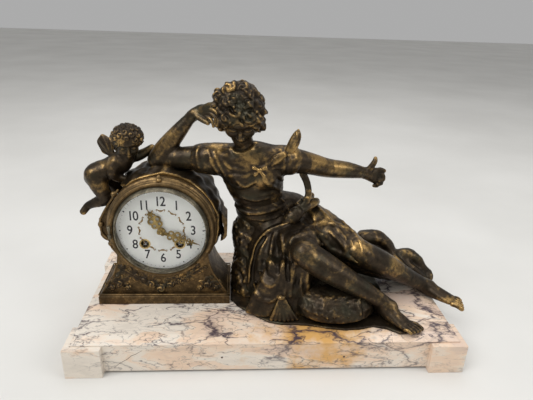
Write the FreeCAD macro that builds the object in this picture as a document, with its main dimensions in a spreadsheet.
import FreeCAD, Part
import math
import os
import re

import Sketcher
from FreeCAD import Placement, Rotation, Vector

# Figural clock. Millimetres, +Z up, +X to the right of the dial, the front looks along -Y.
# The origin is the middle of the rectangle that the four marble corner blocks stand on.

SIZES = {
    # Marble base
    "base_length": 440.0,
    "base_depth": 213.4,
    "block_height": 36.6,
    "block_width": 39.8,
    "frieze_recess": 7.0,
    "frieze_gap_below": 3.0,
    "frieze_rebate": 12.0,
    "slab_edge_recess": 6.6,
    "slab_thickness": 4.1,
    "slab_bevel_width": 14.0,
    "slab_bevel_drop": 2.4,
    "stud_radius": 2.0,
    "stud_grip": 7.0,
    "nut_radius": 4.6,
    "nut_height": 4.0,
    "stud_pocket_radius": 8.0,
    "stud_pocket_depth": 12.0,
    "figure_stud_offset": 62.0,
    "figure_stud_pitch": 52.0,
    # Clock case, measured from the middle of the dial
    "clock_offset": 122.5,
    "dial_rise": 94.9,
    "dial_setback": 22.0,
    "plinth_width": 155.4,
    "plinth_front": 7.4,
    "plinth_back": 66.0,
    "plinth_height": 12.6,
    "plinth_fillet": 2.6,
    "plinth_wall": 9.0,
    "pedestal_foot_half_width": 74.4,
    "pedestal_neck_half_width": 52.6,
    "pedestal_neck_drop": 30.0,
    "pedestal_side_radius": 82.0,
    "pedestal_front": 2.0,
    "case_back": 62.0,
    "case_wall": 4.0,
    "drum_radius": 62.0,
    "drum_front": 11.0,
    "drum_bore_radius": 52.4,
    "rim_inner_radius": 54.9,
    "rim_crest_radius": 59.6,
    "rim_front": 2.6,
    "scroll_reach": 12.0,
    "scroll_height": 44.0,
    "scroll_front": 16.0,
    "scroll_depth": 30.0,
    "scroll_rise": 14.0,
    "swag_drop": 24.0,
    "swag_half_span": 56.0,
    "rose_radius": 5.2,
    "rose_height": 3.6,
    "leaf_radius": 3.4,
    "cloth_thickness": 6.4,
    "cloth_fold": 2.2,
    "cloth_front": 13.0,
    "cloth_back": 63.5,
    # Dial and bezel, measured forward from the face of the dial
    "dial_radius": 50.6,
    "dial_thickness": 1.5,
    "dial_hole_radius": 3.6,
    "winding_offset": 20.0,
    "winding_drop": 17.0,
    "winding_hole_radius": 5.6,
    "collet_wall": 0.8,
    "dial_plate_radius": 54.4,
    "dial_plate_thickness": 1.4,
    "bezel_lip_radius": 49.7,
    "bezel_outer_radius": 54.3,
    "bezel_height": 8.4,
    "bezel_back": 0.6,
    "bezel_wall": 2.6,
    "glass_thickness": 1.8,
    "glass_rise": 10.5,
    "glass_clearance": 0.2,
    "hinge_pin_radius": 1.0,
    "hinge_knuckle_radius": 2.0,
    "hinge_knuckle_length": 5.0,
    "hinge_play": 0.05,
    "hinge_gap": 0.3,
    "bezel_hinge_offset": 57.6,
    # Hands
    "hour_hand_length": 31.5,
    "minute_hand_length": 46.0,
    "hand_thickness": 0.8,
    "hour_hand_height": 2.0,
    "minute_hand_height": 3.8,
    "hand_boss_radius": 5.0,
    "hand_nut_radius": 2.4,
    "hand_nut_bore_radius": 1.1,
    "hand_nut_height": 1.6,
    # Movement, measured back from the face of the dial
    "front_plate_back": 8.0,
    "plate_thickness": 2.2,
    "plate_spacing": 24.0,
    "movement_radius": 47.4,
    "pillar_radius": 2.6,
    "pillar_circle": 43.0,
    "dial_foot_radius": 2.0,
    "arbor_radius": 1.0,
    "arbor_play": 0.05,
    "wheel_thickness": 1.0,
    "pinion_length": 3.0,
    "barrel_module": 0.75,
    "barrel_drum_radius": 17.4,
    "barrel_height": 15.0,
    "barrel_gap": 2.4,
    "barrel_rim_thickness": 2.0,
    "winding_arbor_radius": 2.4,
    "winding_square": 3.2,
    "centre_module": 0.47,
    "third_module": 0.44,
    "escape_offset": 24.0,
    "escape_radius": 9.0,
    "anchor_offset": 36.4,
    "anchor_thickness": 1.4,
    "anchor_arm_width": 1.8,
    "pallet_gap": 0.1,
    "crutch_length": 22.0,
    "motion_distance": 12.0,
    "motion_gap": 0.7,
    "strap_offset": 48.4,
    "pipe_wall": 0.7,
    "pin_wheel_radius": 9.6,
    "pin_radius": 0.6,
    "strap_width": 7.0,
    "strap_thickness": 1.4,
    "screw_head_radius": 3.0,
    "screw_head_height": 1.6,
    # Striking work and pendulum
    "bell_radius": 31.0,
    "bell_height": 11.0,
    "bell_wall": 1.2,
    "bell_gap": 8.2,
    "bell_stand_offset": 37.5,
    "bell_stand_radius": 2.2,
    "bell_arm_width": 5.0,
    "bell_arm_thickness": 1.6,
    "hammer_offset": 33.0,
    "hammer_rise": 24.0,
    "hammer_arm_length": 16.7,
    "hammer_head_radius": 3.2,
    "hammer_head_length": 6.0,
    "hammer_tail_length": 11.6,
    "hammer_setback": 12.4,
    "pendulum_setback": 3.8,
    "pendulum_length": 98.0,
    "pendulum_rod_radius": 0.8,
    "bob_radius": 13.0,
    "bob_thickness": 6.4,
    "spring_width": 4.0,
    "spring_thickness": 0.5,
    "cock_width": 8.0,
    "cock_height": 6.0,
    "cock_gap": 0.4,
    # Back of the case
    "back_ring_radius": 58.4,
    "back_ring_thickness": 2.4,
    "door_radius": 55.4,
    "door_thickness": 1.6,
    "door_rise": 3.0,
    "door_gap": 0.3,
    # Field that the figure group is set out in, above the slab
    "group_width": 400.0,
    "group_depth": 200.0,
    "group_height": 260.0,
    "group_girth": 100.0,
    "sheet_thickness": 3.0,
    "wing_thickness": 2.4,
    "overrun": 10.0,
}

BARREL_TEETH = 50
CENTRE_PINION_TEETH = 20
CENTRE_TEETH = 64
THIRD_PINION_TEETH = 8
THIRD_TEETH = 56
ESCAPE_PINION_TEETH = 8
ESCAPE_TEETH = 30
CANNON_TEETH = 12
MINUTE_TEETH = 36
MINUTE_PINION_TEETH = 10
HOUR_TEETH = 40
PIN_PINION_TEETH = 10
PIN_COUNT = 8
PILLAR_ANGLES = (15.0, 60.0, 165.0, 270.0)
MINUTE_HAND_ANGLE = -110.5
HOUR_HAND_ANGLE = 27.5

document = FreeCAD.newDocument("FiguralClock")
sheet = document.addObject("Spreadsheet::Sheet", "Sizes")
for row, (name, value) in enumerate(SIZES.items(), 1):
    sheet.set("A%d" % row, name)
    sheet.set("B%d" % row, str(value))
    sheet.setAlias("B%d" % row, name)
document.recompute()

PIECES = []


# Sizes and bindings

def size(name):
    return float(sheet.get(name))


def bound(expression):
    """Put the sheet's name before each alias in an expression."""
    return re.sub(r"[a-z][a-z_]+", lambda m: "Sizes." + m.group() if m.group() in SIZES else m.group(), expression)


def amount(expression):
    """The value of an expression written in the sheet's aliases."""
    return float(sheet.evalExpression(bound(expression)))


def bind(item, **expressions):
    for name, expression in expressions.items():
        item.setExpression(name, bound(expression))
    return item


def put(item, x="0", y="0", z="0"):
    """Bind the place of an object."""
    for axis, expression in (("x", x), ("y", y), ("z", z)):
        if expression != "0":
            item.setExpression("Placement.Base." + axis, bound(expression))
    return item


def piece(item, label, placement=None):
    """Name a finished sub-part and, where it has one, set its placement."""
    item.Label = label
    if placement is not None:
        item.Placement = placement
    PIECES.append(item)
    return item


SLAB_TOP = "(block_height + slab_thickness)"
DIAL_HEIGHT = "(block_height + slab_thickness + dial_rise)"
PLINTH_MIDDLE = "((plinth_back - plinth_front) / 2 - dial_setback)"
STUDS = (
    ("-clock_offset - (plinth_width - plinth_wall) / 2", PLINTH_MIDDLE),
    ("-clock_offset + (plinth_width - plinth_wall) / 2", PLINTH_MIDDLE),
    ("figure_stud_offset - figure_stud_pitch / 2", "0"),
    ("figure_stud_offset + figure_stud_pitch / 2", "0"),
)


def clock_frame():
    """Frame of the clock: x to the right, y up and z forward from the middle of the dial's face."""
    base = Vector(-size("clock_offset"), -size("dial_setback"), amount(DIAL_HEIGHT))
    return Placement(base, Rotation(Vector(1, 0, 0), 90))


CLOCK = clock_frame()


# Primitives and booleans

def box(name, length, width, height, x="0", y="0", z="0"):
    item = document.addObject("Part::Box", name)
    bind(item, Length=length, Width=width, Height=height)
    return put(item, x, y, z)


def block(name, length, width, height, x="0", y="0", z="0"):
    """A box that is centred on its place in x and y."""
    return box(name, length, width, height, "%s - (%s) / 2" % (x, length), "%s - (%s) / 2" % (y, width), z)


def cylinder(name, radius, height, x="0", y="0", z="0"):
    item = document.addObject("Part::Cylinder", name)
    bind(item, Radius=radius, Height=height)
    return put(item, x, y, z)


def pole(name, sides, radius, height, x="0", y="0", z="0"):
    """An upright many-sided post."""
    item = document.addObject("Part::Prism", name)
    item.Polygon = sides
    bind(item, Circumradius=radius, Height=height)
    return put(item, x, y, z)


def fuse(name, *items):
    item = document.addObject("Part::MultiFuse", name)
    item.Shapes = list(items)
    return item


def cut(name, base, *tools):
    item = document.addObject("Part::Cut", name)
    item.Base = base
    item.Tool = tools[0] if len(tools) == 1 else fuse(name + "_tools", *tools)
    return item


def feature(name, shape):
    item = document.addObject("Part::Feature", name)
    item.Shape = shape
    return item


# Sketches and bodies

def body(name):
    return document.addObject("PartDesign::Body", name)


def sketch_on(owner, name, role="XY_Plane", offset=None):
    item = owner.newObject("Sketcher::SketchObject", name)
    plane = [part for part in owner.Origin.OriginFeatures if part.Role == role][0]
    item.AttachmentSupport = [(plane, "")]
    item.MapMode = "FlatFace"
    if offset is not None:
        item.setExpression("AttachmentOffset.Base.z", bound(offset))
    return item


def pin_point(item, geometry, position, x, y):
    """Hold a sketch point at a place that is written in the sheet's aliases."""
    for kind, axis, expression in (("DistanceX", -2, x), ("DistanceY", -1, y)):
        if expression == "0":
            item.addConstraint(Sketcher.Constraint("PointOnObject", geometry, position, axis))
        else:
            constraint = Sketcher.Constraint(kind, -1, 1, geometry, position, amount(expression))
            index = item.addConstraint(constraint)
            item.setExpression("Constraints[%d]" % index, bound(expression))


def outline(item, corners):
    """Closed outline. A corner is (x, y), or (x, y, radius, turn) where an arc leads to the next one."""
    places = [Vector(amount(c[0]), amount(c[1]), 0) for c in corners]
    ends = []
    for number, corner in enumerate(corners):
        start = places[number]
        stop = places[(number + 1) % len(places)]
        if len(corner) == 2:
            geometry = item.addGeometry(Part.LineSegment(start, stop))
            ends.append((geometry, 1, 2))
            continue
        radius = amount(corner[2])
        turn = corner[3]
        chord = stop - start
        height = math.sqrt(radius**2 - (chord.Length / 2) ** 2)
        normal = Vector(-chord.y, chord.x, 0).normalize()
        centre = (start + stop) / 2 + normal * (height * turn)
        first, last = (start, stop) if turn > 0 else (stop, start)
        angles = [math.atan2(p.y - centre.y, p.x - centre.x) for p in (first, last)]
        circle = Part.Circle(centre, Vector(0, 0, 1), radius)
        geometry = item.addGeometry(Part.ArcOfCircle(circle, angles[0], angles[1]))
        index = item.addConstraint(Sketcher.Constraint("Radius", geometry, radius))
        item.setExpression("Constraints[%d]" % index, bound(corner[2]))
        ends.append((geometry, 1, 2) if turn > 0 else (geometry, 2, 1))
    for number, corner in enumerate(corners):
        geometry, start, stop = ends[number]
        following = ends[(number + 1) % len(ends)]
        item.addConstraint(Sketcher.Constraint("Coincident", geometry, stop, following[0], following[1]))
        pin_point(item, geometry, start, corner[0], corner[1])


def ring_on(item, radius, x="0", y="0"):
    """A circle in a sketch."""
    place = Vector(amount(x), amount(y), 0)
    geometry = item.addGeometry(Part.Circle(place, Vector(0, 0, 1), amount(radius)))
    index = item.addConstraint(Sketcher.Constraint("Radius", geometry, amount(radius)))
    item.setExpression("Constraints[%d]" % index, bound(radius))
    pin_point(item, geometry, 3, x, y)


def pad(owner, profile, length, backwards=False):
    item = owner.newObject("PartDesign::Pad", profile.Name + "_pad")
    item.Profile = profile
    item.setExpression("Length", bound(length))
    item.Reversed = backwards
    return item


def pocket(owner, profile, length, backwards=False):
    item = owner.newObject("PartDesign::Pocket", profile.Name + "_pocket")
    item.Profile = profile
    item.setExpression("Length", bound(length))
    item.Reversed = backwards
    return item


# Marble base

def make_base():
    slab = body("slab")
    top = sketch_on(slab, "slab_outline", offset=SLAB_TOP)
    half_length = "(base_length / 2 - slab_edge_recess)"
    half_depth = "(base_depth / 2 - slab_edge_recess)"
    outline(top, [("-" + half_length, "-" + half_depth), (half_length, "-" + half_depth),
                  (half_length, half_depth), ("-" + half_length, half_depth)])
    plate = pad(slab, top, "slab_thickness", True)
    document.recompute()
    level = amount(SLAB_TOP)
    faces = ["Face%d" % n for n, face in enumerate(plate.Shape.Faces, 1)
             if face.CenterOfMass.z > level - amount("slab_thickness") / len(plate.Shape.Faces)]
    bevel = slab.newObject("PartDesign::Chamfer", "slab_bevelled")
    bevel.Base = (plate, faces)
    bevel.ChamferType = "Two distances"
    bevel.setExpression("Size", bound("slab_bevel_drop"))
    bevel.setExpression("Size2", bound("slab_bevel_width"))
    holes = sketch_on(slab, "slab_holes", offset=SLAB_TOP + " + overrun")
    for x, y in STUDS:
        ring_on(holes, "stud_radius", x, y)
    slab.Tip = pocket(slab, holes, "slab_thickness + 2 * overrun")
    piece(slab, "marble_top_slab")

    face = block("frieze_face", "base_length - 2 * frieze_recess", "base_depth - 2 * frieze_recess",
                 "block_height - frieze_gap_below", z="frieze_gap_below")
    sole_inset = "2 * (frieze_recess + frieze_rebate)"
    sole = block("frieze_sole", "base_length - " + sole_inset, "base_depth - " + sole_inset, "block_height / 2")
    stone = fuse("frieze_stone", face, sole)
    blocks = []
    tools = []
    for number, (x, y) in enumerate(((-1, -1), (1, -1), (-1, 1), (1, 1))):
        where = ("%d * (base_length - block_width) / 2" % x, "%d * (base_depth - block_width) / 2" % y)
        blocks.append(block("corner_%d" % number, "block_width", "block_width", "block_height", *where))
        tools.append(block("seat_%d" % number, "block_width", "block_width", "block_height + overrun", *where))
    for number, (x, y) in enumerate(STUDS):
        tools.append(pole("stud_way_%d" % number, 12, "stud_radius", "block_height + overrun", x, y))
        tools.append(pole("stud_pocket_%d" % number, 16, "stud_pocket_radius",
                          "stud_pocket_depth + overrun", x, y, "-overrun"))
    piece(cut("frieze", stone, *tools), "marble_frieze")
    piece(fuse("four_stones", *blocks), "corner_blocks")

    studs = []
    seat = "(stud_pocket_depth - nut_height)"
    for number, (x, y) in enumerate(STUDS):
        foot = seat + " - nut_height / 2"
        rise = SLAB_TOP + " + stud_grip - (" + foot + ")"
        studs.append(pole("stud_%d" % number, 12, "stud_radius", rise, x, y, foot))
        studs.append(pole("nut_%d" % number, 6, "nut_radius", "nut_height", x, y, seat))
    piece(fuse("studs", *studs), "studs_and_nuts")


# Clock case

def pedestal_outline(item, inset, foot):
    """The flared sides of the pedestal, from its foot up to the middle of the drum."""
    foot_half = "(pedestal_foot_half_width - %s)" % inset
    neck_half = "(pedestal_neck_half_width - %s)" % inset
    neck = "-pedestal_neck_drop"
    outline(item, [("-" + foot_half, foot), (foot_half, foot, "pedestal_side_radius", -1), (neck_half, neck),
                   ("-" + neck_half, neck, "pedestal_side_radius", -1)])


def make_case():
    foot = "-(dial_rise - plinth_height)"
    case = body("case")
    flare = sketch_on(case, "pedestal", offset="pedestal_front")
    pedestal_outline(flare, "0", foot)
    pad(case, flare, "pedestal_front + case_back", True)
    neck = sketch_on(case, "neck", offset="pedestal_front")
    outline(neck, [("-pedestal_neck_half_width", "-pedestal_neck_drop"),
                   ("pedestal_neck_half_width", "-pedestal_neck_drop"),
                   ("pedestal_neck_half_width", "0"), ("-pedestal_neck_half_width", "0")])
    pad(case, neck, "pedestal_front + case_back", True)
    drum = sketch_on(case, "drum", offset="-drum_front")
    ring_on(drum, "drum_radius")
    pad(case, drum, "case_back - drum_front", True)
    rim = sketch_on(case, "rim_profile", "XZ_Plane")
    seat_depth = "-dial_thickness - dial_plate_thickness"
    outline(rim, [("drum_bore_radius", "-drum_front"), ("drum_bore_radius", seat_depth), ("rim_inner_radius", seat_depth),
                  ("rim_inner_radius", "rim_front"), ("rim_crest_radius", "rim_front"), ("rim_crest_radius", "-drum_front")])
    moulding = case.newObject("PartDesign::Revolution", "rim_turn")
    moulding.Profile = rim
    moulding.ReferenceAxis = (rim, ["V_Axis"])
    moulding.Angle = 360
    bore = sketch_on(case, "bore", offset="rim_front + overrun")
    ring_on(bore, "drum_bore_radius")
    pocket(case, bore, "rim_front + case_back + 2 * overrun")
    seat = sketch_on(case, "seat", offset="rim_front + overrun")
    ring_on(seat, "rim_inner_radius")
    pocket(case, seat, "rim_front + dial_thickness + dial_plate_thickness + overrun")
    room = sketch_on(case, "pendulum_room", offset="pedestal_front - case_wall")
    pedestal_outline(room, "case_wall", foot)
    case.Tip = pocket(case, room, "pedestal_front + case_back - 2 * case_wall")
    return piece(case, "clock_case", CLOCK)


def make_plinth():
    half = "plinth_width / 2"
    plinth = body("plinth")
    base = sketch_on(plinth, "plinth_outline")
    outline(base, [("-" + half, "-plinth_front"), (half, "-plinth_front"), (half, "plinth_back"),
                   ("-" + half, "plinth_back")])
    plate = pad(plinth, base, "plinth_height")
    document.recompute()
    height = amount("plinth_height")
    faces = ["Face%d" % n for n, face in enumerate(plate.Shape.Faces, 1) if face.BoundBox.ZMin > height / 2]
    cove = plinth.newObject("PartDesign::Chamfer", "plinth_cove")
    cove.Base = (plate, faces)
    cove.setExpression("Size", bound("plinth_fillet"))
    room = sketch_on(plinth, "plinth_room", "XY_Plane", "-overrun")
    inner = "(plinth_width / 2 - plinth_wall)"
    outline(room, [("-" + inner, "plinth_wall - plinth_front"), (inner, "plinth_wall - plinth_front"),
                   (inner, "plinth_back - plinth_wall"), ("-" + inner, "plinth_back - plinth_wall")])
    pocket(plinth, room, "plinth_height + 2 * overrun", True)
    holes = sketch_on(plinth, "plinth_holes", "XY_Plane", "-overrun")
    for side in ("-", ""):
        ring_on(holes, "stud_radius", side + "(plinth_width - plinth_wall) / 2", "(plinth_back - plinth_front) / 2")
    plinth.Tip = pocket(plinth, holes, "stud_grip + overrun", True)
    where = Vector(-size("clock_offset"), -size("dial_setback"), amount(SLAB_TOP))
    return piece(plinth, "case_plinth", Placement(where, Rotation()))


def make_scrolls(cloth):
    """The scrolled ears that stand out at both sides of the drum."""
    sides = []
    for number, side in enumerate((1, -1)):
        ear = body("ear_%d" % number)
        shape = sketch_on(ear, "ear_outline_%d" % number, offset="-scroll_front")
        reach = "(drum_radius + scroll_reach)"
        high = "(scroll_rise + scroll_height / 2)"
        low = "(scroll_height - scroll_rise)"
        points = [("drum_radius - scroll_reach", high), (reach, "scroll_rise / 2"),
                  (reach, "-scroll_rise", "scroll_reach", -1),
                  ("drum_radius + scroll_reach / 6", "-scroll_height / 2"),
                  ("pedestal_neck_half_width + case_wall", "-" + low), ("pedestal_neck_half_width - case_wall", "-" + low),
                  ("pedestal_neck_half_width - case_wall", high)]
        if side < 0:
            points = [("-(%s)" % p[0],) + p[1:] for p in points]
            points = [p if len(p) == 2 else (p[0], p[1], p[2], -p[3]) for p in points]
        outline(shape, points)
        pad(ear, shape, "scroll_depth", True)
        sides.append(ear)
    scrolls = cut("scrolls", fuse("ears", *sides), case_core("scroll_core"), cloth)
    return piece(scrolls, "side_scrolls", CLOCK)


def case_core(name):
    """A plain solid that fills the drum and the pedestal, for pieces that are fitted round them."""
    drum = cylinder(name + "_drum", "drum_radius", "case_back + overrun", z="-case_back - overrun")
    owner = body(name + "_foot")
    flare = sketch_on(owner, name + "_flare", offset="pedestal_front")
    pedestal_outline(flare, "0", "-(dial_rise - plinth_height)")
    pad(owner, flare, "pedestal_front + case_back + overrun", True)
    neck = block(name + "_neck", "2 * pedestal_neck_half_width", "2 * pedestal_neck_drop",
                 "pedestal_front + case_back + overrun", z="-case_back - overrun")
    return fuse(name, drum, owner, neck)


# Ornament on the case

def faceted(sections):
    """A closed solid through rows of points, flat ends and three-cornered faces between the rows."""
    faces = [Part.Face(Part.makePolygon(row + [row[0]])) for row in (sections[0], sections[-1])]
    for lower, upper in zip(sections, sections[1:]):
        for number in range(len(lower)):
            following = (number + 1) % len(lower)
            for corners in ((lower[number], lower[following], upper[following]),
                            (lower[number], upper[following], upper[number])):
                faces.append(Part.Face(Part.makePolygon(list(corners) + [corners[0]])))
    solid = Part.Solid(Part.Shell(faces))
    if solid.Volume < 0:
        solid.reverse()
    return solid


def spun(name, corners, sides, x=0.0, y=0.0):
    """A body spun about z in many flat sides, from an outline of (radius, height) corners."""
    outline_points = [(amount(radius), amount(height)) for radius, height in corners]
    faces = []
    for number, (radius, height) in enumerate(outline_points):
        next_radius, next_height = outline_points[(number + 1) % len(outline_points)]
        if radius == 0 and next_radius == 0:
            continue
        for side in range(sides):
            turns = [2 * math.pi * (side + step) / sides for step in (0, 1)]
            points = [Vector(x + radius * math.cos(turns[0]), y + radius * math.sin(turns[0]), height)]
            if radius:
                points.append(Vector(x + radius * math.cos(turns[1]), y + radius * math.sin(turns[1]), height))
            if next_radius:
                points.append(Vector(x + next_radius * math.cos(turns[1]), y + next_radius * math.sin(turns[1]), next_height))
            points.append(Vector(x + next_radius * math.cos(turns[0]), y + next_radius * math.sin(turns[0]), next_height))
            faces.append(Part.Face(Part.makePolygon(points + [points[0]])))
    solid = Part.Solid(Part.Shell(faces))
    if solid.Volume < 0:
        solid.reverse()
    return feature(name, solid.removeSplitter())


def many_sided(centre, radius, height, sides, level=0.0, turn=0.0):
    """A row of points round a centre in the plane of the dial."""
    return [Vector(centre.x + radius * math.cos(turn + 2 * math.pi * n / sides),
                   centre.y + radius * math.sin(turn + 2 * math.pi * n / sides), level + height)
            for n in range(sides)]


def rosette(centre, radius, height, level, petals):
    """A flower head: a low petalled dome that is turned in steps."""
    rows = []
    for spread_share, rise_share, turn in ((1.0, 0.0, 0.0), (0.9, 0.55, 0.35), (0.45, 1.0, 0.7)):
        rows.append(many_sided(centre, radius * spread_share, height * rise_share, petals, level, turn))
    return faceted(rows)


def make_swag():
    """Rose swag between two corner sprays, on the face of the pedestal."""
    level = size("pedestal_front")
    foot = size("plinth_height") - size("dial_rise")
    span = size("swag_half_span")
    rose = size("rose_radius")
    height = size("rose_height")
    leaf = size("leaf_radius")
    flowers = []
    for share in (-0.72, -0.48, -0.24, 0.0, 0.24, 0.48, 0.72):
        drop = foot + rose * 1.35 + size("swag_drop") * share**2
        grown = rose * (1.1 - 0.45 * abs(share))
        flowers.append(rosette(Vector(span * share, drop, 0), grown, height, level, 7))
    for side in (-1, 1):
        for across_share, rise_share in ((1.02, 0.34), (0.86, 0.24), (1.0, 0.75)):
            middle = Vector(side * span * across_share, foot + size("swag_drop") * rise_share, 0)
            flowers.append(rosette(middle, leaf, height * 0.8, level, 6))
    swag = flowers[0].fuse(flowers[1:]).removeSplitter()
    return piece(feature("swag", swag), "rose_swag", CLOCK)


def make_cloth():
    """Cloth thrown over the drum, its outer edge in folds, fitted down onto the drum."""
    inner = size("drum_radius") - size("case_wall") / 2
    outer = size("drum_radius") + size("cloth_thickness")
    fold = size("cloth_fold")
    start, end, steps = math.radians(134), math.radians(-34), 26
    rim = []
    for number in range(steps + 1):
        share = number / steps
        angle = start + (end - start) * share
        swell = fold * math.sin(share * 31.0) + fold * 1.5 * math.sin(share * math.pi)
        rim.append(Vector((outer + swell) * math.cos(angle), (outer + swell) * math.sin(angle), 0))
    bore = [Vector(inner * math.cos(start + (end - start) * n / 12), inner * math.sin(start + (end - start) * n / 12), 0)
            for n in range(12, -1, -1)]
    face = Part.Face(Part.makePolygon(rim + bore + [rim[0]]))
    depth = size("cloth_back") - size("cloth_front")
    cloth = face.extrude(Vector(0, 0, -depth))
    cloth.translate(Vector(0, 0, -size("cloth_front")))
    thrown = feature("cloth", cloth)
    laid = cut("cloth_fitted", thrown, case_core("cloth_core"))
    return piece(laid, "drum_cloth", CLOCK), thrown


# Dial, bezel and hands

def upright(item):
    """Lay a cylinder's axis along the clock's y axis."""
    item.Placement = Placement(item.Placement.Base, Rotation(Vector(1, 0, 0), -90))
    return item


def make_dial():
    dial = body("dial")
    face = sketch_on(dial, "dial_face")
    ring_on(face, "dial_radius")
    pad(dial, face, "dial_thickness", True)
    holes = sketch_on(dial, "dial_holes", offset="overrun")
    ring_on(holes, "dial_hole_radius")
    for side in ("-", ""):
        ring_on(holes, "winding_hole_radius", side + "winding_offset", "-winding_drop")
    dial.Tip = pocket(dial, holes, "dial_thickness + 2 * overrun")
    piece(dial, "enamel_dial", CLOCK)

    collets = []
    inner = "(winding_hole_radius - collet_wall)"
    corners = [(inner, "-dial_thickness"), ("winding_hole_radius", "-dial_thickness"), ("winding_hole_radius", "0"),
               ("winding_hole_radius + collet_wall", "0"), ("winding_hole_radius + collet_wall", "collet_wall / 2"),
               (inner, "collet_wall / 2")]
    for side in (-1, 1):
        collets.append(spun("collet", corners, 20, side * size("winding_offset"), -size("winding_drop")))
    piece(fuse("collets", *collets), "winding_hole_collets", CLOCK)

    plate = body("dial_plate")
    disc = sketch_on(plate, "dial_plate_disc", offset="-dial_thickness")
    ring_on(disc, "dial_plate_radius")
    pad(plate, disc, "dial_plate_thickness", True)
    ways = sketch_on(plate, "dial_plate_holes", offset="overrun")
    ring_on(ways, "dial_hole_radius")
    for side in ("-", ""):
        ring_on(ways, "winding_hole_radius - collet_wall", side + "winding_offset", "-winding_drop")
    plate.Tip = pocket(plate, ways, "dial_thickness + dial_plate_thickness + 2 * overrun")
    piece(plate, "dial_plate", CLOCK)


def hinge(name, x, z, reach, leaf_start, fixed_depth, outward):
    """Knuckles, pin and leaves of a small door hinge whose pin runs along y at (x, z)."""
    long = "hinge_knuckle_length"
    gap = "hinge_gap"
    swing = upright(cylinder(name + "_swing", "hinge_knuckle_radius", long, x, "-%s / 2" % long, z))
    leaf = box(name + "_leaf", reach, long, "hinge_knuckle_radius", leaf_start, "-%s / 2" % long, z + " - hinge_knuckle_radius / 2")
    swing_way = upright(cylinder(name + "_swing_way", "hinge_pin_radius + hinge_play", "3 * " + long, x, "-1.5 * " + long, z))
    fixed = []
    for side, y in (("up", "%s / 2 + %s" % (long, gap)), ("down", "-1.5 * %s - %s" % (long, gap))):
        fixed.append(upright(cylinder(name + "_" + side, "hinge_knuckle_radius", long, x, y, z)))
        start = z + " - " + fixed_depth if outward else z
        fixed.append(box(name + "_foot_" + side, "1.4 * hinge_knuckle_radius", long, fixed_depth, x + " - 0.7 * hinge_knuckle_radius", y, start))
    fixed_way = upright(cylinder(name + "_fixed_way", "hinge_pin_radius", "6 * " + long, x, "-3 * " + long, z))
    pin = upright(cylinder(name + "_pin", "hinge_pin_radius", "3 * %s + 2 * %s" % (long, gap), x, "-1.5 * %s - %s" % (long, gap), z))
    return swing, leaf, swing_way, fixed, fixed_way, pin


def make_bezel():
    seat = "(bezel_lip_radius + bezel_wall * 0.75)"
    low = "(bezel_height - 0.6 * bezel_wall)"
    ring = spun("bezel", [(seat, "-bezel_back"), ("bezel_outer_radius", "-bezel_back"),
                          ("bezel_lip_radius + 0.8 * bezel_wall", "bezel_height"), ("bezel_lip_radius", "bezel_height"),
                          ("bezel_lip_radius", low), (seat, low)], 60)
    x, z = "-bezel_hinge_offset", "(rim_front + hinge_knuckle_radius + hinge_gap)"
    reach = "bezel_hinge_offset - bezel_outer_radius + bezel_wall"
    swing, leaf, way, fixed, fixed_way, pin = hinge("bezel_hinge", x, z, reach, x, "hinge_knuckle_radius + hinge_gap", True)
    catch = box("bezel_catch", "bezel_wall", "hinge_knuckle_length", "hinge_knuckle_radius",
                "bezel_outer_radius - bezel_wall / 2", "-hinge_knuckle_length / 2", z + " - hinge_knuckle_radius")
    piece(cut("bezel_bored", fuse("bezel_and_knuckle", ring, swing, leaf, catch), way), "bezel_ring", CLOCK)
    bored = cut("bezel_hinge_bored", fuse("bezel_hinge_leaves", *fixed), fixed_way)
    piece(fuse("bezel_hinge_pinned", bored, pin), "bezel_hinge", CLOCK)

    edge = "(%s - glass_clearance)" % seat
    top = low
    shoulder = "(bezel_lip_radius - glass_clearance)"
    bend = "0.6 * bezel_lip_radius"
    bend_rise = "(%s + 0.72 * (glass_rise - %s))" % (top, top)
    glass = spun("glass", [(edge, top + " - glass_thickness"), (edge, top), (shoulder, top), (bend, bend_rise),
                             ("0", "glass_rise"), ("0", "glass_rise - glass_thickness"),
                             (bend, bend_rise + " - glass_thickness"), (shoulder, top + " - glass_thickness")], 40)
    piece(glass, "convex_glass", CLOCK)


def bar(start, end, width, low, high):
    """A flat bar in the plane of the dial between two places."""
    run = end - start
    solid = Part.makeBox(run.Length, width, high - low, Vector(0, -width / 2, low))
    turn = math.degrees(math.atan2(run.y, run.x))
    solid.Placement = Placement(Vector(start.x, start.y, 0), Rotation(Vector(0, 0, 1), turn))
    return solid


def tube(radius, bore, low, high, place=Vector(0, 0, 0)):
    solid = Part.makeCylinder(radius, high - low, Vector(place.x, place.y, low))
    if bore:
        solid = solid.cut(Part.makeCylinder(bore, 3 * (high - low), Vector(place.x, place.y, low - (high - low))))
    return solid


def many_sided_plate(centre, radius, low, high, sides):
    row = many_sided(centre, radius, low, sides)
    return Part.Face(Part.makePolygon(row + [row[0]])).extrude(Vector(0, 0, high - low))


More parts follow.
